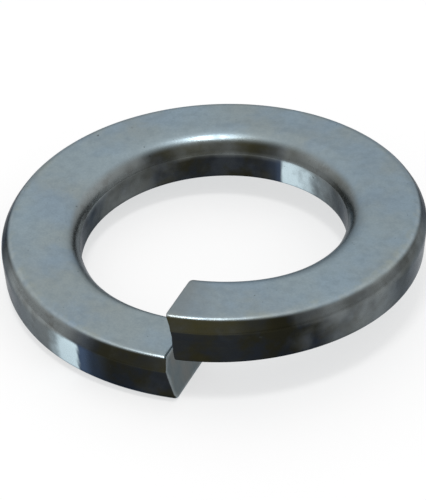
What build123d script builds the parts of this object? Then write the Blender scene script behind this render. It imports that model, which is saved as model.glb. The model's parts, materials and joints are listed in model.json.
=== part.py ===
from build123d import *
import math
import os

# Split spring lock washer: one piece of rolled spring wire, coiled through one left-hand turn
# and cropped, so that its two cut ends stand about one wire thickness apart across the split.
# Frame: Z is the bore axis, the split faces -Y, and the lowest corner stands on Z = 0.
# All lengths in millimetres, all angles in degrees.

# --- driving dimensions -------------------------------------------------------
bore_diameter = 20.8        # clear hole for an M20 bolt
wire_width = 6.1            # radial width of the wire, bore wall to outside ridge
wire_thickness = 3.8        # flat to flat
end_offset = 3.9            # rise of the coil in one turn, low end to high end
split_gap = 0.20            # opening left by the crop, square to the cut faces
cut_slant = 13.6            # cut turned away from the radius, seen from above
cut_lean = 13.0             # cut leaning away from the bore axis
outer_ridge_height = 2.78   # low ridge round the outside, above the wire's underside
bore_crease_height = 2.35   # top of the straight bore wall, above the wire's underside
top_outer_draw = 0.62       # top outer corner stands in from the outside by this
top_inner_draw = 0.80       # top inner corner stands back from the bore by this
bottom_outer_draw = 0.18    # bottom outer corner stands in from the outside by this
top_outer_round = 0.25      # corner radii left by the wire's rolls
top_inner_round = 0.45
bottom_flat = 0.40          # small flat rolled along both bottom corners
end_break = 0.18            # tumbled edge round both cut faces
sizing_stock = 0.04         # stock on bore wall and outside ridge, taken off by sizing
overrun = 12.0              # each half turn is coiled this far past the split, then cropped

# --- derived sizes ------------------------------------------------------------
bore_radius = bore_diameter / 2
outside_radius = bore_radius + wire_width
mean_radius = (bore_radius + outside_radius) / 2
free_height = wire_thickness + end_offset
slant_slope = math.tan(math.radians(cut_slant))
lean_slope = math.tan(math.radians(cut_lean))
cut_normal = Vector(1, -slant_slope, lean_slope).normalized()


def wire_section():
    """Section of the wire: flat top and underside, a ridged outside and a straight bore wall."""
    wall = bore_radius - sizing_stock
    corners = [
        (outside_radius - bottom_outer_draw, 0),
        (outside_radius + sizing_stock, outer_ridge_height),
        (outside_radius - top_outer_draw, wire_thickness),
        (bore_radius + top_inner_draw, wire_thickness),
        (wall, bore_crease_height),
        (wall, 0),
    ]
    section = make_face(Polyline(*corners, close=True))
    top_inner = section.vertices().group_by(Axis.Y)[-1].sort_by(Axis.X)[0]
    section = fillet(top_inner, top_inner_round)
    top_outer = section.vertices().group_by(Axis.Y)[-1].sort_by(Axis.X)[-1]
    section = fillet(top_outer, top_outer_round)
    bottom_corners = section.vertices().group_by(Axis.Y)[0]
    section = chamfer(bottom_corners, bottom_flat)
    return Plane.XZ * section


def coil(start, span):
    """Wire coiled upwards and clockwise through `span`, from `start` past the low end."""
    path = Helix(pitch=end_offset, height=end_offset * span / 360, radius=mean_radius, lefthand=True)
    wire = sweep(wire_section(), path=path, is_frenet=True)
    wire = Rot(0, 0, -90 - start) * wire
    return Pos(0, 0, end_offset * start / 360) * wire


def crop_block(side, underside):
    """Block standing on the waste side of one end, with the cut plane as its face."""
    middle = Vector(0, -mean_radius, underside + wire_thickness / 2)
    cut_plane = Plane(origin=middle + cut_normal * side * split_gap / 2, z_dir=cut_normal * -side)
    reach = 3 * wire_width
    return cut_plane * Box(reach, reach, wire_width, align=(Align.CENTER, Align.CENTER, Align.MIN))


def sizing_cylinder(radius, height):
    """Cylinder on the bore axis, for the wall at that height of the wire.

    Its seam line is turned into the split there, so that the wall stays one face.
    """
    slant_shift = slant_slope * (mean_radius - radius)
    lean_shift = lean_slope * (wire_thickness / 2 - height)
    seam = -90 + math.degrees((slant_shift + lean_shift) / radius)
    return Rot(0, 0, seam) * Cylinder(radius, 4 * free_height)


# The two half turns are coiled apart, because each end is cropped by its own plane.
low_half = coil(-overrun, 180 + overrun) - crop_block(-1, 0)
high_half = coil(180, 180 + overrun) - crop_block(1, end_offset)
washer = low_half + high_half

# The crop leaves a sharp edge round both cut faces; tumbling breaks it.
cut_faces = washer.faces().filter_by(GeomType.PLANE)
cut_edges = ShapeList([edge for face in cut_faces for edge in face.edges()])
washer = chamfer(cut_edges, end_break)

# Sizing on a mandrel and through a ring makes the bore wall and the outside ridge truly round.
washer = washer - sizing_cylinder(bore_radius, (bottom_flat + bore_crease_height) / 2)
washer = washer & sizing_cylinder(outside_radius, outer_ridge_height)

# Stand the lowest corner on Z = 0.
washer = Pos(0, 0, -washer.bounding_box().min.Z) * washer

lock_washer = washer.solids()[0]
lock_washer.label = "lock_washer"

os.makedirs("parts", exist_ok=True)
export_step(lock_washer, "parts/lock_washer.step")

bounds = lock_washer.bounding_box()
print("lock_washer valid:", lock_washer.is_valid, "volume:", round(lock_washer.volume, 2), "mm3")
print("free height:", round(bounds.size.Z, 3), "outside:", round(bounds.size.X, 3), round(bounds.size.Y, 3))
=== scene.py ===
# %% [markdown]
# # A split lock washer in bright zinc
# This lesson dresses one small part: a spring lock washer, coiled from rolled wire and cropped
# so that its ends stand about one thickness apart. The CAD model gives the size and the place.
# Everything here is in metres, with Z along the bore and the split facing -Y.

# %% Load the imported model
import json
import math

import bmesh
import bpy
from mathutils import Matrix, Vector, noise


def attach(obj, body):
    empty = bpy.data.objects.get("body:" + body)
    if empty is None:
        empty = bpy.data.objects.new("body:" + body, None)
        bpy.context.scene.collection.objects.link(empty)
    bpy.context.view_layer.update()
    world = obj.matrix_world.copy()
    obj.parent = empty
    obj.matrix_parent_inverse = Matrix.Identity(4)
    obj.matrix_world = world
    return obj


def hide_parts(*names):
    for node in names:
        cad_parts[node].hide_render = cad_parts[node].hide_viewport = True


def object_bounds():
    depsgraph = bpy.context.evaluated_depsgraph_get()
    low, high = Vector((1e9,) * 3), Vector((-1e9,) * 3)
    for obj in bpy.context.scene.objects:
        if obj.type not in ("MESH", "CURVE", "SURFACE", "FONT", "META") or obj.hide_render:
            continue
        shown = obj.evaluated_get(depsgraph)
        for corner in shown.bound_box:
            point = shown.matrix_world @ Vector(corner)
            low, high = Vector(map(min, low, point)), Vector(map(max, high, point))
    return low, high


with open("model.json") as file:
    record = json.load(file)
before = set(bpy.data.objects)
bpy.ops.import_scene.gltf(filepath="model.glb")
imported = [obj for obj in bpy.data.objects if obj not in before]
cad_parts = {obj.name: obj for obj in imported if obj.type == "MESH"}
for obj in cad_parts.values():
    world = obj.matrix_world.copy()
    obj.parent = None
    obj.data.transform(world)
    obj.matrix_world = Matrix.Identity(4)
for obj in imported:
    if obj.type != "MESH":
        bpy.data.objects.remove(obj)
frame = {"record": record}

cad_low, cad_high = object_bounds()
print("CAD box, low and high corners:", tuple(cad_low), tuple(cad_high))

# %% [markdown]
# ## Sizes
# A drawing of a lock washer names very few numbers: the bore, the outside, the thickness of the
# wire and the rise of the coil. The bore and the outside are read from the CAD model, so the
# surface made here can't drift away from it. The rest are the wire's own section and the crop.

# %% Sizes of the washer
MM = 0.001
bore_mount = next(m for m in frame["record"]["mounts"] if m["name"] == "bore")
BORE_RADIUS = bore_mount["dims"]["r_mm"] * MM
OUTSIDE_RADIUS = (cad_high[0] - cad_low[0]) / 2
MEAN_RADIUS = (BORE_RADIUS + OUTSIDE_RADIUS) / 2
THICKNESS = 3.8 * MM
RISE_PER_TURN = 3.9 * MM
print("bore", BORE_RADIUS / MM, "outside", round(OUTSIDE_RADIUS / MM, 3), "mm radius")

# %% [markdown]
# ## The section of the wire
# The wire is rolled before it is coiled. Its top and underside are flat, its outside has a low
# ridge, and its bore side is straight up to a crease and then rolls over to the top. Every corner
# gets a true arc, because a round corner catches a highlight, which a sharp one never does. The
# coiling softens the corners along the turn, while the crop leaves most of them crisper at the
# two ends, so each corner has three radii, and the section blends from one set to the next.

# %% Corners of the section
RIDGE_HEIGHT, CREASE_HEIGHT = 2.78 * MM, 2.35 * MM
# Each row: radius, height, and the round by the low cut, by the high cut and between the two.
SECTION = [
    (OUTSIDE_RADIUS - 0.18 * MM, 0.0, 0.75 * MM, 0.20 * MM, 0.50 * MM),
    (OUTSIDE_RADIUS + 0.03 * MM, RIDGE_HEIGHT, 0.30 * MM, 0.30 * MM, 1.10 * MM),
    (OUTSIDE_RADIUS - 0.62 * MM, THICKNESS, 0.50 * MM, 0.50 * MM, 0.95 * MM),
    (BORE_RADIUS + 0.76 * MM, THICKNESS, 0.60 * MM, 0.95 * MM, 2.00 * MM),
    (BORE_RADIUS - 0.02 * MM, CREASE_HEIGHT, 0.25 * MM, 0.25 * MM, 0.30 * MM),
    (BORE_RADIUS - 0.02 * MM, 0.0, 0.40 * MM, 0.40 * MM, 0.45 * MM),
]
LOW_CUT, HIGH_CUT, BETWEEN = 2, 3, 4
print("corners of the section:", len(SECTION))

# %% A round at each corner
ARC_STEPS = 8
HOLD = 0.05 * MM  # a point this far outside each arc keeps the flats flat


def turned(spoke, angle):
    """A plane vector turned by an angle, counterclockwise."""
    return Vector((spoke.x * math.cos(angle) - spoke.y * math.sin(angle),
                   spoke.x * math.sin(angle) + spoke.y * math.cos(angle)))


def rounded_outline(corners, rounds):
    """Points round a closed section, counterclockwise, with an arc at each corner."""
    outline = []
    for i, corner in enumerate(corners):
        radius = corner[rounds]
        here = Vector(corner[:2])
        back = (Vector(corners[i - 1][:2]) - here).normalized()
        ahead = (Vector(corners[(i + 1) % len(corners)][:2]) - here).normalized()
        half = back.angle(ahead) / 2
        start = here + back * radius / math.tan(half)
        end = here + ahead * radius / math.tan(half)
        centre = here + (back + ahead).normalized() * radius / math.sin(half)
        sweep = -(start - centre).angle_signed(end - centre)
        outline.append(start + back * HOLD)
        outline += [centre + turned(start - centre, sweep * k / ARC_STEPS)
                    for k in range(ARC_STEPS + 1)]
        outline.append(end + ahead * HOLD)
    return outline


def fill_flats(outline, parts):
    """The same outline with each run divided evenly into its number of parts."""
    filled = []
    for i, point in enumerate(outline):
        ahead = outline[(i + 1) % len(outline)]
        filled += [point.lerp(ahead, k / parts[i]) for k in range(parts[i])]
    return filled


# %% The three outlines, point for point alike
LONGEST_RUN = 0.35 * MM
first_points = rounded_outline(SECTION, LOW_CUT)
run_lengths = [(first_points[(i + 1) % len(first_points)] - point).length
               for i, point in enumerate(first_points)]
parts = [max(1, math.ceil(run / LONGEST_RUN)) for run in run_lengths]
cut_outlines = [fill_flats(rounded_outline(SECTION, rounds), parts)
                for rounds in (LOW_CUT, HIGH_CUT)]
soft_outline = fill_flats(rounded_outline(SECTION, BETWEEN), parts)
print("section points:", len(soft_outline))

# %% [markdown]
# ## The coil and its two cut ends
# Each point of the section runs along its own left-hand helix. The crop is a plane set at a
# slant, so the helices don't all end at the same angle: the outside of the wire reaches further
# than the bore side. Sweeping the section and cutting it with a boolean would leave long thin
# faces at the cut. Solving for the angle where each helix meets the plane, and sharing the rings
# out between those two angles, gives clean quads from one cut to the other.

# %% Place of a point of the wire
TURN = 2 * math.pi


def place(angle, radius, height):
    """A point of the coil: angle runs clockwise from the split, seen from above."""
    return Vector((-radius * math.sin(angle), -radius * math.cos(angle),
                   height + RISE_PER_TURN * angle / TURN))


print("rise at the high end:", round(place(TURN, MEAN_RADIUS, 0).z / MM, 2), "mm")

# %% Where a helix meets a cut
SPLIT_GAP = 0.20 * MM
CUT_SLANT = math.tan(math.radians(13.6))
CUT_LEAN = math.tan(math.radians(13.0))
CUT_NORMAL = Vector((1, -CUT_SLANT, CUT_LEAN)).normalized()
SOLVER_STEPS, SMALL_ANGLE = 6, 1e-4


def depth_behind_cut(end, angle, radius, height):
    """How far a point lies inside the wire, square to the cut. end is 0 (low) or 1 (high)."""
    middle = Vector((0, -MEAN_RADIUS, THICKNESS / 2 + RISE_PER_TURN * end))
    along = CUT_NORMAL.dot(place(angle, radius, height) - middle)
    return (along if end else -along) - SPLIT_GAP / 2


def angle_at_depth(end, radius, height, depth):
    """The angle at which this helix of the wire is at that depth behind the cut."""
    angle = TURN * end
    for _ in range(SOLVER_STEPS):
        here = depth_behind_cut(end, angle, radius, height)
        beside = depth_behind_cut(end, angle + SMALL_ANGLE, radius, height)
        angle += (depth - here) * SMALL_ANGLE / (beside - here)
    return angle


low_start = math.degrees(angle_at_depth(0, OUTSIDE_RADIUS, 0, 0))
print("low end starts at", round(low_start, 2), "degrees")

# %% [markdown]
# ## Rolls, sizing and the torn crop
# Real wire is never quite even: the rolls leave a slow waver of about a hundredth of a
# millimetre, which makes the reflections wander a little. The bore and the outside are sized
# after coiling, so the waver is clipped there to true cylinders. The crop shears the low end
# clean. The high end tears instead, so its face is hollow above the middle and stands forward in
# a lip at the top and the bottom. A displacement texture could do this, but a plain function of
# height keeps the edges of the face exact.

# %% A slow waver, then the sizing
WAVE = 0.012 * MM
WAVER_CIRCLE = 2.2  # a wider circle through the noise gives shorter waves
HEIGHT_SEED, RADIUS_SEED = 3.1, 9.4
MOSTLY_DOWN = 0.6  # keeps the top of the waver under the flat top


def eased_share(low, high, value):
    """0 below low, 1 above high, eased between."""
    share = max(0.0, min(1.0, (value - low) / (high - low)))
    return share * share * (3 - 2 * share)


def waver(angle, seed):
    """A slow unevenness along the wire, from the rolls and the coiling, between -1 and 1."""
    return noise.noise(Vector((math.cos(angle) * WAVER_CIRCLE, math.sin(angle) * WAVER_CIRCLE,
                               seed + angle / TURN)))


def sized(radius, height, angle):
    """The rolled point after its slow waver, then the sizing of the bore and the outside."""
    lift = max(0.0, min(1.0, height / THICKNESS))
    height += WAVE * lift * (waver(angle, HEIGHT_SEED) - MOSTLY_DOWN)
    radius += WAVE * lift * waver(angle, RADIUS_SEED)
    return min(max(radius, BORE_RADIUS), OUTSIDE_RADIUS), height


print("waver at the back:", round(waver(math.pi, HEIGHT_SEED), 3))

# %% The hollow of the torn crop
HOLLOW, LIP = 0.26 * MM, 0.08 * MM
HOLLOW_AT, HOLLOW_REACH = 0.68, 0.24  # shares of the thickness
BOTTOM_LIP_TO, BOTTOM_LIP = 0.35, 2.0
TOP_LIP_FROM, TOP_LIP = 0.80, 1.7


def hollow(end, height):
    """How far the torn crop of the high end stands back (or forward) at a height of the wire."""
    if end == 0:
        return 0.0
    share = height / THICKNESS
    bottom = BOTTOM_LIP * max(0.0, 1 - share / BOTTOM_LIP_TO)
    top = TOP_LIP * max(0.0, (share - TOP_LIP_FROM) / (1 - TOP_LIP_FROM))
    back = HOLLOW * math.exp(-((share - HOLLOW_AT) / HOLLOW_REACH) ** 2)
    return back - LIP * (1.0 + bottom + top)


for share in (0.0, HOLLOW_AT, 1.0):
    stands_back = hollow(1, share * THICKNESS)
    print("torn face at", share, "of the height stands back:", round(stands_back / MM, 3), "mm")

# %% [markdown]
# ## Broken edges
# The crop leaves sharp edges, and tumbling in the plating barrel rounds them. The edge round
# each cut face is built as a quarter circle: ring by ring, the section shrinks inwards along its
# own normals while it nears the cut plane. A bevel modifier would do the same on a simple box,
# but here it would round the section's own corners too.

# %% Outward directions of the section
def outward(points):
    """The outward direction at each point of the section, which runs counterclockwise."""
    result = []
    for i in range(len(points)):
        run = points[(i + 1) % len(points)] - points[i - 1]
        result.append(Vector((run.y, -run.x)).normalized())
    return result


cut_normals = [outward(outline) for outline in cut_outlines]
normals = outward(soft_outline)
centre_of_section = sum(soft_outline, Vector((0, 0))) / len(soft_outline)
area = sum(soft_outline[i - 1].cross(soft_outline[i]) for i in range(len(soft_outline))) / 2
print("section area:", round(area / MM ** 2, 2), "mm2, centre", centre_of_section / MM)

# %% Rings of a broken edge
EDGE_ROUND = 0.14 * MM
EDGE_STEPS = 4


def end_ring(end, inset, depth, shrink=1.0):
    """The section, inset and at one depth behind the cut, as places in the washer's frame."""
    ring = []
    for point, normal in zip(cut_outlines[end], cut_normals[end]):
        near = point - normal * inset
        near = centre_of_section + (near - centre_of_section) * shrink
        radius, height = sized(near.x, near.y, TURN * end)
        angle = angle_at_depth(end, radius, height, depth + hollow(end, height))
        ring.append(place(angle, radius, height))
    return ring


def quarter_round(end):
    """Rings from the cut face out to the full section."""
    steps = []
    for k in range(EDGE_STEPS + 1):
        lean = math.pi / 2 * k / EDGE_STEPS
        steps.append(end_ring(end, EDGE_ROUND * (1 - math.sin(lean)),
                              EDGE_ROUND * (1 - math.cos(lean))))
    return steps


low_edge, high_edge = quarter_round(0), quarter_round(1)[::-1]
print("rings in a broken edge:", len(low_edge))

# %% Rings of the body
RINGS = 340
SOFT_REACH = 0.14  # share of the turn in which the corners soften


def body_rings():
    """The rings between the two broken edges, each helix shared out evenly."""
    first = [angle_at_depth(0, p.x, p.y, EDGE_ROUND) for p in cut_outlines[0]]
    last = [angle_at_depth(1, p.x, p.y, EDGE_ROUND + hollow(1, p.y)) for p in cut_outlines[1]]
    made = []
    for k in range(1, RINGS):
        share = k / RINGS
        softness = eased_share(0.0, SOFT_REACH, min(share, 1 - share))
        ring = []
        for crisp, soft, a, b in zip(cut_outlines[round(share)], soft_outline, first, last):
            point = crisp.lerp(soft, softness)
            angle = a + (b - a) * share
            ring.append(place(angle, *sized(point.x, point.y, angle)))
        made.append(ring)
    return made


rings = low_edge + body_rings() + high_edge
last_ring = len(rings) - 1
print("rings:", len(rings), "points a ring:", len(rings[0]))

# %% [markdown]
# ## What the finish needs to know
# Zinc plate isn't one colour. The passivating bath leaves a thin film, dark and olive, and the
# walls also carry painted shade: they are darkened most near the two cut ends, where they would
# mirror shaded floor, and left almost clear on the open top. A few places on the walls carry a
# painted reflection, almost white, with a painted blue rim where it ends, and the olive of the
# upper strips is partly a painted reflection too. Painting an image would fix the resolution, so
# the places are written here as a few angles along the turn, stored on the points of the mesh,
# and the materials break them up with noise.

# %% Film and painted shade along the turn, as (degrees from the low end, amount)
# Painted shade: a high amount darkens the wall, as where it would mirror shaded floor.
OUTER_FILM_AND_SHADE = [(0, 0.95), (20, 1.0), (31, 0.95), (42, 0.38), (50, 0.22), (58, 0.36), (66, 0.62),
              (76, 0.92), (100, 0.80), (180, 0.55), (262, 0.70), (272, 0.34), (279, 0.30),
              (291, 0.52), (305, 0.42), (316, 0.52), (325, 0.82), (333, 0.99), (360, 1.0)]
STRIP_FILM_AND_SHADE = [(0, 0.84), (10, 0.95), (22, 0.92), (29, 0.50), (35, 0.12), (41, 0.0), (57, 0.05),
              (67, 0.50), (80, 0.78), (180, 0.75), (262, 0.70), (272, 0.46), (288, 0.52),
              (302, 0.42), (315, 0.46), (326, 0.58), (334, 0.99), (341, 0.94), (347, 0.82),
              (360, 0.80)]
BORE_FILM_AND_SHADE = [(0, 0.6), (90, 0.72), (126, 0.55), (148, 0.80), (160, 0.94), (201, 0.93),
             (231, 0.5), (252, 0.52), (290, 0.6), (360, 0.6)]
SLOPE_FILM_AND_SHADE = [(0, 0.3), (60, 0.25), (103, 0.08), (118, 0.12), (134, 0.38), (148, 0.80),
              (161, 0.63), (180, 0.64), (191, 0.88), (197, 0.80), (206, 0.32), (226, 0.0),
              (243, 0.10), (256, 0.02), (300, 0.2), (360, 0.3)]
# What the crease adds to the bore side: painted shade along the crease, and below zero a painted
# highlight, where it takes film away.
CREASE_SHADE_AND_HIGHLIGHT = [(0, 0.2), (95, 0.0), (130, 0.10), (150, 0.0), (160, -0.3), (210, -0.3),
               (230, 0.0), (265, 0.0), (360, 0.3)]


def amount_at(knots, degrees):
    """The amount at an angle, eased between the two nearest knots."""
    for (low, amount), (high, next_amount) in zip(knots, knots[1:]):
        if degrees <= high:
            return amount + (next_amount - amount) * eased_share(low, high, degrees)
    return knots[-1][1]


back_film_and_shade = [round(amount_at(knots, 180), 2) for knots in (OUTER_FILM_AND_SHADE, BORE_FILM_AND_SHADE)]
print("film at the back, outside and bore:", back_film_and_shade)

# %% Painted reflection, its painted blue rim, olive with painted reflection, and stain along the turn
# Painted reflection: bright places on the walls, each with a painted blue rim where it ends.
OUTER_PAINTED_REFLECTION = [(0, 0.0), (28.4, 0.0), (30.0, 1.0), (34, 0.95), (38, 0.42), (42, 0.05),
                 (50, 0.0), (360, 0.0)]
BORE_PAINTED_REFLECTION = [(0, 0.0), (201.6, 0.0), (204.5, 1.0), (214, 0.80), (224, 0.3), (244, 0.0),
                (360, 0.0)]
OUTER_REFLECTION_RIM = [(0, 0.0), (18, 0.0), (24, 0.25), (28.0, 1.0), (31.0, 0.3), (38, 0.0), (360, 0.0)]
BORE_REFLECTION_RIM = [(0, 0.0), (194, 0.0), (199, 0.2), (202, 0.6), (206, 0.0), (360, 0.0)]
# Olive tint along the turn, part the passivate's own colour and part painted reflection.
OLIVE_AND_REFLECTION = [(0, 0.9), (12, 0.5), (22, 0.35), (30, 0.08), (130, 0.0), (142, 0.15), (156, 0.7),
         (196, 0.6), (223, 0.1), (241, 0.5), (266, 0.1), (315, 0.1), (333, 0.15), (341, 0.5),
         (348, 0.95), (360, 1.0)]
STAIN = [(0, 0.3), (3, 0.0), (349, 0.0), (355, 0.5), (360, 1.0)]
print("straw at the two cuts:", amount_at(OLIVE_AND_REFLECTION, 0), amount_at(OLIVE_AND_REFLECTION, 360))

# %% Corners and walls of the section
RUBBED = (0, 2)  # the two outer corners in SECTION, where washers rub
RUBBED_REACH = 0.75 * MM
FULL_WALL = 0.80  # a direction this level already counts as all wall


def corner_nearness(point):
    """1 on the round of the outer corners, where washers rub, falling to 0 beside them."""
    nearest = min((point - Vector(SECTION[i][:2])).length for i in RUBBED)
    return max(0.0, 1.0 - nearest / RUBBED_REACH)


corner_values = [corner_nearness(point) for point in soft_outline]
wall_values = [min(1.0, abs(normal.x) / FULL_WALL) for normal in normals]
print("points on a wall:", sum(value == 1.0 for value in wall_values), "of", len(wall_values))

# %% The stored numbers of a point
WALL_BLEND = 0.30 * MM  # half the height in which the lower wall passes to the strip or slope
CREASE_REACH, CREASE_REACH_BEHIND = 0.50 * MM, 0.26 * MM
BEHIND = (150, 230)  # degrees
REFLECTION_RIM_ABOVE, OLIVE_AND_REFLECTION_BELOW = 0.25, 0.25  # what is left of each on the other side of the ridge


def crease_share(height, degrees):
    """1 at the crease of the bore side, falling to 0 above and below it."""
    reach = CREASE_REACH_BEHIND if BEHIND[0] < degrees < BEHIND[1] else CREASE_REACH
    return max(0.0, 1.0 - abs(height - CREASE_HEIGHT) / reach)


def finish_at(i, degrees):
    """The stored numbers of section point i at an angle along the turn."""
    height = soft_outline[i].y
    if soft_outline[i].x > MEAN_RADIUS:
        split, by_crease = RIDGE_HEIGHT, 0.0
        low_film_and_shade, high_film_and_shade, painted_reflection, reflection_rim = OUTER_FILM_AND_SHADE, STRIP_FILM_AND_SHADE, OUTER_PAINTED_REFLECTION, OUTER_REFLECTION_RIM
    else:
        split, by_crease = CREASE_HEIGHT, crease_share(height, degrees)
        low_film_and_shade, high_film_and_shade, painted_reflection, reflection_rim = BORE_FILM_AND_SHADE, SLOPE_FILM_AND_SHADE, BORE_PAINTED_REFLECTION, BORE_REFLECTION_RIM
    below = 1 - eased_share(split - WALL_BLEND, split + WALL_BLEND, height)
    film_and_shade = amount_at(low_film_and_shade, degrees) * below + amount_at(high_film_and_shade, degrees) * (1 - below)
    return {"corner": corner_values[i], "wall": wall_values[i],
            "film_and_shade": film_and_shade + by_crease * amount_at(CREASE_SHADE_AND_HIGHLIGHT, degrees),
            "painted_reflection": amount_at(painted_reflection, degrees) * below,
            "reflection_rim": amount_at(reflection_rim, degrees) * (REFLECTION_RIM_ABOVE + (1 - REFLECTION_RIM_ABOVE) * below),
            "olive_and_reflection": amount_at(OLIVE_AND_REFLECTION, degrees) * (1 - (1 - OLIVE_AND_REFLECTION_BELOW) * below),
            "stain": amount_at(STAIN, degrees)}


outer_top = max(range(len(soft_outline)), key=lambda i: sum(soft_outline[i]))
print("numbers at the low cut, outer top corner:",
      {name: round(value, 2) for name, value in finish_at(outer_top, 0.0).items()})

# %% [markdown]
# ## The mesh
# The rings become a closed skin of quads. Each point keeps its stored numbers, and each corner of
# a face keeps the distance along and round the wire as its UV, so marks can follow the wire round
# the coil. Building it point by point with bmesh gives that control, which a screw modifier
# doesn't.

# %% Rings of points and the quads between them
LAYERS = ("corner", "wall", "film_and_shade", "painted_reflection", "reflection_rim", "olive_and_reflection", "stain")
ROLLED, CROPPED = 0, 1
mesh_maker = bmesh.new()
layers = {name: mesh_maker.verts.layers.float.new(name) for name in LAYERS}
wire_map = mesh_maker.loops.layers.uv.new("wire")
round_values = [0.0]
for i, point in enumerate(soft_outline):
    step = (soft_outline[(i + 1) % len(soft_outline)] - point).length
    round_values.append(round_values[-1] + step)
print("way round the section:", round(round_values[-1] / MM, 2), "mm")


def add_ring(ring, numbers):
    """One ring of points, each with its stored numbers."""
    made = []
    for spot, at_point in zip(ring, numbers):
        vert = mesh_maker.verts.new(spot)
        for name, value in at_point.items():
            vert[layers[name]] = value
        made.append(vert)
    return made


def join_rings(first, second, first_along, second_along, material):
    """Quads between two rings, with the distance along and round the wire on each corner."""
    count = len(first)
    for i in range(count):
        j = (i + 1) % count
        face = mesh_maker.faces.new((first[i], first[j], second[j], second[i]))
        face.smooth = True
        face.material_index = material
        spots = ((first_along, i), (first_along, i + 1), (second_along, i + 1), (second_along, i))
        for loop, (along, k) in zip(face.loops, spots):
            loop[wire_map].uv = (along / MM, round_values[k] / MM)


# %% The rolled skin, ring by ring
LENGTH_OF_WIRE = TURN * MEAN_RADIUS
HIGHLIGHT_UP_TO = 0.6 * THICKNESS  # below this the torn edge loses its dark film and all its olive, a painted highlight
HIGHLIGHT_CLEARING = 0.75


def turn_degrees(spot, share):
    """The angle of a point along the turn, kept between 0 and 360 on both sides of the split."""
    degrees = math.degrees(math.atan2(-spot.x, -spot.y)) % 360
    if share < 0.25 and degrees > 270:
        return 0.0
    if share > 0.75 and degrees < 90:
        return 360.0
    return degrees


def ring_numbers(k):
    """The stored numbers of ring k, with the broken edges worn, and a painted highlight low on
    the torn edge.
    """
    share = k / last_ring
    broken = max(0.0, 1.0 - min(k, last_ring - k) / EDGE_STEPS)
    numbers = [finish_at(i, turn_degrees(spot, share)) for i, spot in enumerate(rings[k])]
    for at_point, point in zip(numbers, soft_outline):
        at_point["corner"] = max(at_point["corner"], broken)
        # Painted highlight: the low part of the torn edge is cleared to pale zinc.
        if share > 0.5 and point.y < HIGHLIGHT_UP_TO:
            at_point["film_and_shade"] *= 1 - HIGHLIGHT_CLEARING * broken
            at_point["olive_and_reflection"] *= 1 - broken
    return numbers


ring_verts = [add_ring(ring, ring_numbers(k)) for k, ring in enumerate(rings)]
for k in range(last_ring):
    join_rings(ring_verts[k], ring_verts[k + 1], LENGTH_OF_WIRE * k / last_ring,
               LENGTH_OF_WIRE * (k + 1) / last_ring, ROLLED)
print("quads in the rolled skin:", len(mesh_maker.faces))

# %% The two cut faces
CAP_RINGS = 7
WORN_CAP_RINGS = 2


def close_end(end, outer):
    """The cut face, as rings that shrink to its centre."""
    for k in range(1, CAP_RINGS):
        spots = end_ring(end, EDGE_ROUND, 0.0, 1 - k / CAP_RINGS)
        inner = add_ring(spots, [{"corner": max(0.0, 1 - k / WORN_CAP_RINGS)}] * len(spots))
        pair = (inner, outer) if end == 0 else (outer, inner)
        join_rings(*pair, 0.0, 0.0, CROPPED)
        outer = inner
    hub = mesh_maker.verts.new(sum((vert.co for vert in outer), Vector()) / len(outer))
    for i in range(len(outer)):
        trio = (outer[i], outer[(i + 1) % len(outer)], hub)
        face = mesh_maker.faces.new(trio[::-1] if end == 0 else trio)
        face.smooth = True
        face.material_index = CROPPED


close_end(0, ring_verts[0])
close_end(1, ring_verts[-1])
bmesh.ops.recalc_face_normals(mesh_maker, faces=mesh_maker.faces[:])
lowest = min(vert.co.z for vert in mesh_maker.verts)
bmesh.ops.translate(mesh_maker, verts=mesh_maker.verts[:], vec=(0, 0, cad_low[2] - lowest))
print("closed:", all(edge.is_manifold for edge in mesh_maker.edges))
print("volume:", round(mesh_maker.calc_volume() / MM ** 3, 1), "mm3")

# %% The washer in place of the CAD solid
washer_mesh = bpy.data.meshes.new("washer_body")
mesh_maker.to_mesh(washer_mesh)
mesh_maker.free()
washer = bpy.data.objects.new("washer_body", washer_mesh)
bpy.context.scene.collection.objects.link(washer)
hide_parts("lock_washer")
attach(washer, "root")
print("faces:", len(washer_mesh.polygons))

# %% [markdown]
# ## Shared effects
# The rolled skin and the cropped ends share two effects: soft clouds in the plate, and wear along
# the edges, which is also a painted highlight. Each is a node group with named inputs, built once
# and placed in both materials with its own values. The fine marks along the wire are made the
# same way, though only the rolled skin has them. A group hands on masks only, so the shader stays
# in the material, where it is easy to find.

# %% Helpers for shader groups
def new_group(name, inputs, outputs):
    """An empty shader group with named inputs (name, default) and outputs (name)."""
    group = bpy.data.node_groups.new(name, "ShaderNodeTree")
    for label, default in inputs:
        socket = group.interface.new_socket(label, in_out="INPUT", socket_type="NodeSocketFloat")
        socket.default_value = default
    for label in outputs:
        group.interface.new_socket(label, in_out="OUTPUT", socket_type="NodeSocketFloat")
    return group, group.nodes.new("NodeGroupInput"), group.nodes.new("NodeGroupOutput")


def add(tree, kind, settings=(), values=()):
    """A node with its settings and its input values, by name or by place."""
    node = tree.nodes.new("ShaderNode" + kind)
    for name, value in dict(settings).items():
        setattr(node, name, value)
    for name, value in dict(values).items():
        node.inputs[name].default_value = value
    return node


def feed(tree, value, socket):
    """Give a socket its value, which is a plain number or another node's output."""
    if isinstance(value, (int, float)):
        socket.default_value = value
    else:
        tree.links.new(value, socket)


# %% Helpers for masks and colours
def math_node(tree, operation, first, second):
    """A Math node of two values, each a number or a socket."""
    node = add(tree, "Math", {"operation": operation})
    feed(tree, first, node.inputs[0])
    feed(tree, second, node.inputs[1])
    return node.outputs[0]


def share_of(tree, share, mask):
    """A mask turned down to a share of itself."""
    return math_node(tree, "MULTIPLY", mask, share)


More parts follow.
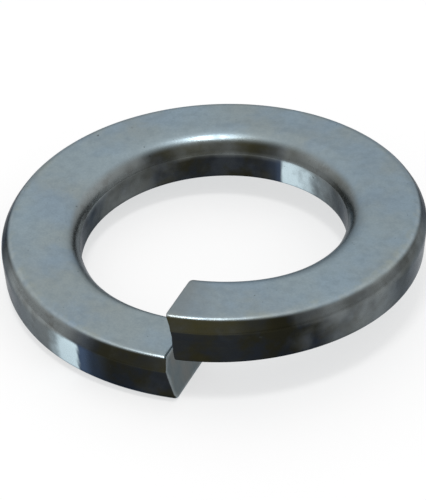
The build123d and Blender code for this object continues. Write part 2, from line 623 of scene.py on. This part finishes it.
def eased(tree, value, low, high, to_low=0.0, to_high=1.0):
    """A value mapped smoothly between two limits."""
    node = add(tree, "MapRange", {"interpolation_type": "SMOOTHSTEP"},
               {"To Min": to_low, "To Max": to_high})
    feed(tree, value, node.inputs["Value"])
    feed(tree, low, node.inputs["From Min"])
    feed(tree, high, node.inputs["From Max"])
    return node.outputs["Result"]


def blended(tree, factor, first, second):
    """A colour between two colours, each a triple or a socket."""
    node = add(tree, "Mix", {"data_type": "RGBA"})
    for place_in, value in ((6, first), (7, second)):
        if isinstance(value, tuple):
            node.inputs[place_in].default_value = (*value, 1)
        else:
            tree.links.new(value, node.inputs[place_in])
    tree.links.new(factor, node.inputs[0])
    return node.outputs[2]


# %% Group: clouds in the plate
clouds, taken, given = new_group("plate_clouds", [
    ("Size mm", 2.0), ("Detail", 4.0), ("Low", 0.4), ("High", 0.6), ("Shift", 0.0)], ["Cloud"])
spot_node = add(clouds, "TexCoord")
per_size = math_node(clouds, "DIVIDE", 1 / MM, taken.outputs["Size mm"])
scaled = add(clouds, "VectorMath", {"operation": "SCALE"})
clouds.links.new(spot_node.outputs["Object"], scaled.inputs[0])
clouds.links.new(per_size, scaled.inputs["Scale"])
cloud_noise = add(clouds, "TexNoise", {"noise_dimensions": "4D"},
                  {"Scale": 1.0, "Roughness": 0.55})
clouds.links.new(scaled.outputs[0], cloud_noise.inputs["Vector"])
clouds.links.new(taken.outputs["Shift"], cloud_noise.inputs["W"])
clouds.links.new(taken.outputs["Detail"], cloud_noise.inputs["Detail"])
clouds.links.new(eased(clouds, cloud_noise.outputs["Fac"], taken.outputs["Low"],
                       taken.outputs["High"]), given.inputs["Cloud"])
print("group made:", clouds.name)

# %% Group: wear and painted highlight along the edges
wear_highlight_group, taken, given = new_group("edge_wear_and_highlight", [
    ("Corner", 0.0), ("Start", 0.5), ("Full", 0.9), ("Broken up", 0.3)], ["Worn"])
wear_cloud = add(wear_highlight_group, "Group")
wear_cloud.node_tree = clouds
for label, value in (("Size mm", 0.8), ("Low", 0.25), ("High", 0.75), ("Shift", 5.0)):
    wear_cloud.inputs[label].default_value = value
loss = math_node(wear_highlight_group, "MULTIPLY", wear_cloud.outputs["Cloud"], taken.outputs["Broken up"])
left_over = math_node(wear_highlight_group, "SUBTRACT", taken.outputs["Corner"], loss)
wear_highlight_group.links.new(eased(wear_highlight_group, left_over, taken.outputs["Start"], taken.outputs["Full"]),
               given.inputs["Worn"])
print("group made:", wear_highlight_group.name)

# %% Group: fine marks along the wire
marks, taken, given = new_group("wire_marks", [
    ("Length mm", 6.0), ("Width mm", 0.12), ("Shift", 0.0)], ["Mark"])
wire_place = add(marks, "UVMap", {"uv_map": "wire"})
apart = add(marks, "SeparateXYZ")
marks.links.new(wire_place.outputs["UV"], apart.inputs[0])
together = add(marks, "CombineXYZ")
marks.links.new(math_node(marks, "DIVIDE", apart.outputs["X"], taken.outputs["Length mm"]),
                together.inputs["X"])
marks.links.new(math_node(marks, "DIVIDE", apart.outputs["Y"], taken.outputs["Width mm"]),
                together.inputs["Y"])
marks.links.new(taken.outputs["Shift"], together.inputs["Z"])
mark_noise = add(marks, "TexNoise", {}, {"Scale": 1.0, "Detail": 3.0, "Roughness": 0.6})
marks.links.new(together.outputs[0], mark_noise.inputs["Vector"])
marks.links.new(eased(marks, mark_noise.outputs["Fac"], 0.3, 0.7), given.inputs["Mark"])
print("group made:", marks.name)

# %% Helpers for the two finishes
METAL_EDGE_TINT = (0.45, 0.47, 0.50, 1)  # the film keeps the metal dull at a glancing angle


def placed(tree, group, **values):
    """A group in a material, with its values set; underscores stand for spaces."""
    node = add(tree, "Group")
    node.node_tree = group
    for label, value in values.items():
        feed(tree, value, node.inputs[label.replace("_", " ")])
    return node.outputs[0]


def stored(tree, name):
    """A number stored on the points of the mesh."""
    return add(tree, "Attribute", {"attribute_name": name}).outputs["Fac"]


def start_material(name):
    """A metal whose colour, roughness and bump are still to be linked."""
    material = bpy.data.materials.new(name)
    material.use_nodes = True
    shader = material.node_tree.nodes["Principled BSDF"]
    shader.inputs["Metallic"].default_value = 1.0
    shader.inputs["Specular Tint"].default_value = METAL_EDGE_TINT
    return material, material.node_tree, shader


def add_bump(tree, shader, height, depth):
    """Bump of a depth in metres, from a height between 0 and 1."""
    bump = add(tree, "Bump", {}, {"Strength": 1.0, "Distance": depth})
    tree.links.new(height, bump.inputs["Height"])
    tree.links.new(bump.outputs[0], shader.inputs["Normal"])


# %% [markdown]
# ## The rolled skin: the open faces
# The open faces are satin blue-grey: zinc crystals under a clear blue passivate. Three sizes of
# cloud, from nine millimetres down to under one, and a grain finer still, stop it looking like
# paint. The outer rims are a little yellower, and the top dulls to grey right beside the cuts.
# Noise in the object's own space needs no unwrapping and has no seam at the split.

# %% Colour of the open faces
TOP_BLUE, TOP_GREEN = (0.255, 0.325, 0.385), (0.285, 0.325, 0.325)
TOP_PALE, EDGE_YELLOW = (0.290, 0.375, 0.430), (0.300, 0.325, 0.280)
TOP_DEEP, TOP_STAIN = (0.17, 0.215, 0.245), (0.175, 0.185, 0.18)
PALE, GRAINY, YELLOWED, CLOUDED, STAINED = 0.55, 0.34, 0.36, 0.24, 0.55  # share of each colour

rolled, tree, shader = start_material("zinc_rolled")
wide_cloud = placed(tree, clouds, Size_mm=3.4, Low=0.36, High=0.66, Shift=1.7)
fine_cloud = placed(tree, clouds, Size_mm=0.70, Low=0.40, High=0.68, Shift=8.2)
broad_cloud = placed(tree, clouds, Size_mm=9.0, Detail=2.0, Low=0.35, High=0.65, Shift=0.4)
edge_cloud = placed(tree, clouds, Size_mm=1.3, Low=0.45, High=0.62, Shift=14.0)
grain = placed(tree, clouds, Size_mm=0.16, Detail=3.0, Low=0.2, High=0.8, Shift=4.0)
near_corner = stored(tree, "corner")
by_edge = math_node(tree, "MULTIPLY", eased(tree, near_corner, 0.0, 0.5), edge_cloud)
top = blended(tree, wide_cloud, TOP_GREEN, TOP_BLUE)
top = blended(tree, share_of(tree, PALE, broad_cloud), top, TOP_PALE)
top = blended(tree, share_of(tree, GRAINY, grain), top, TOP_DEEP)
top = blended(tree, share_of(tree, YELLOWED, by_edge), top, EDGE_YELLOW)
top = blended(tree, share_of(tree, CLOUDED, fine_cloud), top, TOP_DEEP)
top = blended(tree, share_of(tree, STAINED, stored(tree, "stain")), top, TOP_STAIN)
print("colour steps of the open faces:", sum(node.type == "MIX" for node in tree.nodes))

# %% [markdown]
# ## The rolled skin: the walls
# On the walls the stored film and painted shade pull the colour down to a blue black, uneven at
# its borders. Another stored number turns the upper strips olive, partly as a painted reflection,
# a little brown shows where the film is thin, and the places of painted reflection come up almost
# white with a painted blue rim. Each is one more colour laid over the last by its own mask, so
# that any of them can be turned down by itself.

# %% Colour of the walls
WALL_CLEAR = (0.240, 0.264, 0.268)
# Painted shade: the film colours pull the walls down to blue black.
SHADE_FILM_NAVY, SHADE_FILM_BLACK = (0.010, 0.014, 0.023), (0.013, 0.013, 0.009)
SHADE_FILM_UNEVEN = 0.20
OLIVE, OLIVE_LEAST, OLIVE_STREAKS, OLIVE_CLOUDS = (0.062, 0.057, 0.024), 0.35, 0.15, 0.45
BROWN, BROWNED = (0.085, 0.078, 0.066), 0.35

# The stored film number is mostly painted shade.
film_and_shade = stored(tree, "film_and_shade")
shade_film_cloud = placed(tree, clouds, Size_mm=2.2, Low=0.3, High=0.7, Shift=3.3)
off_middle = math_node(tree, "SUBTRACT", shade_film_cloud, 0.5)
film_and_shade_depth = math_node(tree, "ADD", film_and_shade, share_of(tree, SHADE_FILM_UNEVEN, off_middle))
navy_or_black = placed(tree, clouds, Size_mm=2.6, Low=0.40, High=0.60, Shift=2.9)
shade_film_colour = blended(tree, navy_or_black, SHADE_FILM_NAVY, SHADE_FILM_BLACK)
wall = blended(tree, eased(tree, film_and_shade_depth, 0.0, 1.0), WALL_CLEAR, shade_film_colour)
streak = placed(tree, marks, Length_mm=5.0, Width_mm=0.22, Shift=2.0)
uneven = math_node(tree, "ADD", share_of(tree, OLIVE_STREAKS, streak),
                   share_of(tree, OLIVE_CLOUDS, shade_film_cloud))
# Olive on the upper strips: partly the passivate's own tint, partly a painted reflection.
olive_share = math_node(tree, "MULTIPLY", stored(tree, "olive_and_reflection"),
                        math_node(tree, "ADD", uneven, OLIVE_LEAST))
wall = blended(tree, olive_share, wall, OLIVE)
brown_cloud = placed(tree, clouds, Size_mm=0.9, Low=0.48, High=0.68, Shift=17.0)
clear = math_node(tree, "SUBTRACT", 1.0, film_and_shade)
brown_share = share_of(tree, BROWNED, math_node(tree, "MULTIPLY", brown_cloud, clear))
wall = blended(tree, brown_share, wall, BROWN)
print("colour steps so far:", sum(node.type == "MIX" for node in tree.nodes))

# %% Painted reflections on the walls and their painted blue rims
# Painted reflection: these colours paint a mirrored bright place and its blue rim.
REFLECTION_WHITE, REFLECTION_UNEVEN = (0.60, 0.74, 0.80), -0.45
REFLECTION_RIM_BLUE, REFLECTION_RIMMED = (0.062, 0.092, 0.150), 0.95

reflection_cloud = placed(tree, clouds, Size_mm=1.1, Low=0.25, High=0.8, Shift=6.1)
kept = math_node(tree, "ADD", share_of(tree, REFLECTION_UNEVEN, reflection_cloud), 1.0)
bright = math_node(tree, "MULTIPLY", stored(tree, "painted_reflection"), kept)
wall = blended(tree, share_of(tree, REFLECTION_RIMMED, stored(tree, "reflection_rim")), wall, REFLECTION_RIM_BLUE)
wall = blended(tree, eased(tree, bright, 0.05, 0.75), wall, REFLECTION_WHITE)
print("colour steps so far:", sum(node.type == "MIX" for node in tree.nodes))

# %% [markdown]
# ## The rolled skin: wear with painted highlight, gloss and relief
# The stored wall number parts the two colours, along the rounds of the section. Rubbed corners
# are paler, partly from wear and partly as a painted highlight, and a few dark specks are pits
# that the zinc missed. The walls are a little glossier than the top, because the barrel polishes
# them, and a relief of a few thousandths of a millimetre breaks the highlights up.

# %% Material: rolled zinc
# Wear and painted highlight: the rubbed corners are paler, which also paints highlight lines on
# the rounds.
WORN_EDGE_AND_HIGHLIGHT, WORN_AND_HIGHLIGHT = (0.56, 0.62, 0.64), 0.35
PIT, PITTED = (0.03, 0.035, 0.035), 0.6
SATIN, SATIN_CLOUDS, SATIN_SPECKS, WALL_GLOSS = 0.31, 0.05, 0.06, 0.09
RELIEF_GRAIN, RELIEF_STREAKS, RELIEF_DEPTH = 0.5, 0.35, 0.004 * MM

on_wall = eased(tree, stored(tree, "wall"), 0.62, 0.98)
colour = blended(tree, on_wall, top, wall)
wear_and_highlight = placed(tree, wear_highlight_group, Corner=near_corner, Start=0.5, Full=1.0, Broken_up=0.20)
colour = blended(tree, share_of(tree, WORN_AND_HIGHLIGHT, wear_and_highlight), colour, WORN_EDGE_AND_HIGHLIGHT)
pits = placed(tree, clouds, Size_mm=0.42, Detail=2.0, Low=0.70, High=0.76, Shift=11.0)
colour = blended(tree, share_of(tree, PITTED, pits), colour, PIT)
tree.links.new(colour, shader.inputs["Base Color"])
satin = math_node(tree, "ADD", share_of(tree, SATIN_CLOUDS, wide_cloud), SATIN)
satin = math_node(tree, "SUBTRACT", satin, share_of(tree, WALL_GLOSS, on_wall))
satin = math_node(tree, "ADD", satin, share_of(tree, SATIN_SPECKS, fine_cloud))
tree.links.new(satin, shader.inputs["Roughness"])
relief = math_node(tree, "ADD", share_of(tree, RELIEF_GRAIN, grain),
                   share_of(tree, RELIEF_STREAKS, streak))
add_bump(tree, shader, relief, RELIEF_DEPTH)
washer_mesh.materials.append(rolled)
print("material made:", rolled.name, "nodes:", len(tree.nodes))

# %% [markdown]
# ## The cropped ends
# The crop shears the wire: the blade burnishes a band at its side, and the rest tears. Both show
# as faint upright lines. Plating covers them, so they are a little rougher and greyer than the
# rolled skin, and their rims are paler, partly worn and partly a painted highlight.

# %% Material: cropped zinc
CUT_GREY, CUT_BLUE, CUT_DEEP = (0.192, 0.202, 0.196), (0.168, 0.200, 0.210), (0.085, 0.10, 0.10)
SHEAR_ACROSS, SHEAR_UP = 5.5, 0.5  # noise cells per millimetre
SHEARED, CUT_WORN_AND_HIGHLIGHT = 0.16, 0.25
CUT_SATIN, CUT_SATIN_CLOUDS, SHEAR_DEPTH = 0.36, 0.1, 0.006 * MM

cropped, tree, shader = start_material("zinc_cropped")
spot_node = add(tree, "TexCoord")
apart = add(tree, "SeparateXYZ")
tree.links.new(spot_node.outputs["Object"], apart.inputs[0])
together = add(tree, "CombineXYZ")
tree.links.new(share_of(tree, SHEAR_ACROSS / MM, apart.outputs["Y"]), together.inputs["Y"])
tree.links.new(share_of(tree, SHEAR_UP / MM, apart.outputs["Z"]), together.inputs["Z"])
shear = add(tree, "TexNoise", {}, {"Scale": 1.0, "Detail": 3.0})
tree.links.new(together.outputs[0], shear.inputs["Vector"])
shear_lines = eased(tree, shear.outputs["Fac"], 0.3, 0.7)
cut_cloud = placed(tree, clouds, Size_mm=1.6, Low=0.35, High=0.65, Shift=9.0)
colour = blended(tree, cut_cloud, CUT_GREY, CUT_BLUE)
colour = blended(tree, share_of(tree, SHEARED, shear_lines), colour, CUT_DEEP)
# Wear and painted highlight on the rims of the cut face.
wear_and_highlight = placed(tree, wear_highlight_group, Corner=stored(tree, "corner"), Start=0.35, Full=0.9, Broken_up=0.3)
colour = blended(tree, share_of(tree, CUT_WORN_AND_HIGHLIGHT, wear_and_highlight), colour, WORN_EDGE_AND_HIGHLIGHT)
tree.links.new(colour, shader.inputs["Base Color"])
tree.links.new(math_node(tree, "ADD", share_of(tree, CUT_SATIN_CLOUDS, cut_cloud), CUT_SATIN),
               shader.inputs["Roughness"])
add_bump(tree, shader, shear_lines, SHEAR_DEPTH)
washer_mesh.materials.append(cropped)
print("material made:", cropped.name, "nodes:", len(tree.nodes))

# %% [markdown]
# ## The floor
# A sheet of white paper carries the washer. Lit paper alone comes out light grey, so part of it
# glows for the camera and in reflections, but not for the light that it throws back: a strong
# glow there would fill the shadow under the washer. A plain plane is enough, and it reaches far
# past the view so that the metal never mirrors its edge.

# %% A paper floor
FLOOR_HALF = 3.0
PAPER, PAPER_ROUGHNESS = (0.90, 0.90, 0.90), 0.9
PAPER_WHITENING = 0.60
floor_mesh = bpy.data.meshes.new("studio_floor")
floor_corners = [(x * FLOOR_HALF, y * FLOOR_HALF, 0)
                 for x, y in ((-1, -1), (1, -1), (1, 1), (-1, 1))]
floor_mesh.from_pydata(floor_corners, [], [(0, 1, 2, 3)])
floor = bpy.data.objects.new("studio_floor", floor_mesh)
bpy.context.scene.collection.objects.link(floor)
print("floor:", 2 * FLOOR_HALF, "m wide")

# %% Material: studio paper
paper = bpy.data.materials.new("studio_paper")
paper.use_nodes = True
tree = paper.node_tree
sheet = tree.nodes["Principled BSDF"]
sheet.inputs["Base Color"].default_value = (*PAPER, 1)
sheet.inputs["Roughness"].default_value = PAPER_ROUGHNESS
ray = add(tree, "LightPath")
mirrored = math_node(tree, "MAXIMUM", ray.outputs["Is Glossy Ray"],
                     ray.outputs["Is Transmission Ray"])
seen = math_node(tree, "MAXIMUM", ray.outputs["Is Camera Ray"], mirrored)
white = add(tree, "Emission", {}, {"Strength": 1.0})
mixed = add(tree, "MixShader")
tree.links.new(share_of(tree, PAPER_WHITENING, seen), mixed.inputs["Fac"])
tree.links.new(sheet.outputs[0], mixed.inputs[1])
tree.links.new(white.outputs[0], mixed.inputs[2])
tree.links.new(mixed.outputs[0], tree.nodes["Material Output"].inputs["Surface"])
floor_mesh.materials.append(paper)
print("material made:", paper.name)

# %% [markdown]
# ## The camera
# Small hardware is shot from a distance with a long lens, so its far side is nearly as large as
# its near side. The camera looks down at about 36 degrees from the front, a little to the right,
# and rolls by one degree. Its direction is worked out from those angles instead of from a
# tracking constraint, which couldn't give the roll.

# %% Camera
ELEVATION, AZIMUTH, ROLL = math.radians(36.427), math.radians(9.285), math.radians(-1.015)
DISTANCE = 0.2018
SENSOR_MM, LENS_MM = 36.0, 184.7808
NEAREST_SEEN = 0.01
AIM_UP, AIM_RIGHT = 1.7877 * MM, -0.1030 * MM

back = Vector((math.sin(AZIMUTH) * math.cos(ELEVATION), -math.cos(AZIMUTH) * math.cos(ELEVATION),
               math.sin(ELEVATION)))
level_right = Vector((math.cos(AZIMUTH), math.sin(AZIMUTH), 0))
level_up = back.cross(level_right)
right = level_right * math.cos(ROLL) + level_up * math.sin(ROLL)
up = level_up * math.cos(ROLL) - level_right * math.sin(ROLL)
eye = back * DISTANCE
forward = (up * AIM_UP + right * AIM_RIGHT - eye).normalized()
square_right = (right - forward * right.dot(forward)).normalized()
square_up = square_right.cross(forward)
facing = Matrix((square_right, square_up, -forward)).transposed()

camera_data = bpy.data.cameras.new("camera")
camera_data.sensor_width = SENSOR_MM
camera_data.lens = LENS_MM
camera_data.clip_start = NEAREST_SEEN
camera = bpy.data.objects.new("camera", camera_data)
bpy.context.scene.collection.objects.link(camera)
camera.matrix_world = Matrix.Translation(eye) @ facing.to_4x4()
bpy.context.scene.camera = camera
print("camera at", tuple(round(value, 4) for value in eye), "m")

# %% [markdown]
# ## The key light
# Metal shows what it mirrors. One small softbox, about a metre up and a little in front, is
# caught by the rounded edges on both sides of the ring, which gives the bright lines that show
# its form. Straight overhead it would be mirrored in the whole top face seen from above, and
# bleach it.

# %% Key softbox
def softbox(name, spot, target, side, power):
    """A square area lamp of a side in metres and a power in watts, facing a target."""
    lamp = bpy.data.lights.new(name, "AREA")
    lamp.shape = "SQUARE"
    lamp.size = side
    lamp.energy = power
    thing = bpy.data.objects.new(name, lamp)
    bpy.context.scene.collection.objects.link(thing)
    thing.location = spot
    thing.rotation_mode = "QUATERNION"
    thing.rotation_quaternion = (Vector(target) - Vector(spot)).to_track_quat("-Z", "Y")
    return thing


key = softbox("key_softbox", (-0.04, -0.23, 0.98), (0, 0, 0), side=0.20, power=3.0)
print("key light at", tuple(round(value, 2) for value in key.location), "m")

# %% [markdown]
# ## The room
# White walls all round would flatten the washer: every face would mirror the same white. So the
# world is full white only high up and behind, and dims to four fifths in front and to about
# three fifths down at the horizon, which sets the walls off from the top.

# %% World
FRONT_TO_BACK, FRONT_GLOW = (-0.6, 0.75), 0.80
HORIZON_TO_HIGH, HORIZON_GLOW = (-0.05, 0.50), 0.58
world = bpy.data.worlds.new("studio")
bpy.context.scene.world = world
world.use_nodes = True
tree = world.node_tree
direction = add(tree, "TexCoord")
apart = add(tree, "SeparateXYZ")
tree.links.new(direction.outputs["Generated"], apart.inputs[0])
glow = math_node(tree, "MULTIPLY",
                 eased(tree, apart.outputs["Y"], *FRONT_TO_BACK, FRONT_GLOW, 1.0),
                 eased(tree, apart.outputs["Z"], *HORIZON_TO_HIGH, HORIZON_GLOW, 1.0))
tree.links.new(glow, tree.nodes["Background"].inputs["Strength"])
tree.nodes["Background"].inputs["Color"].default_value = (1, 1, 1, 1)
bpy.context.scene.view_settings.view_transform = "Standard"
print("world made:", world.name)
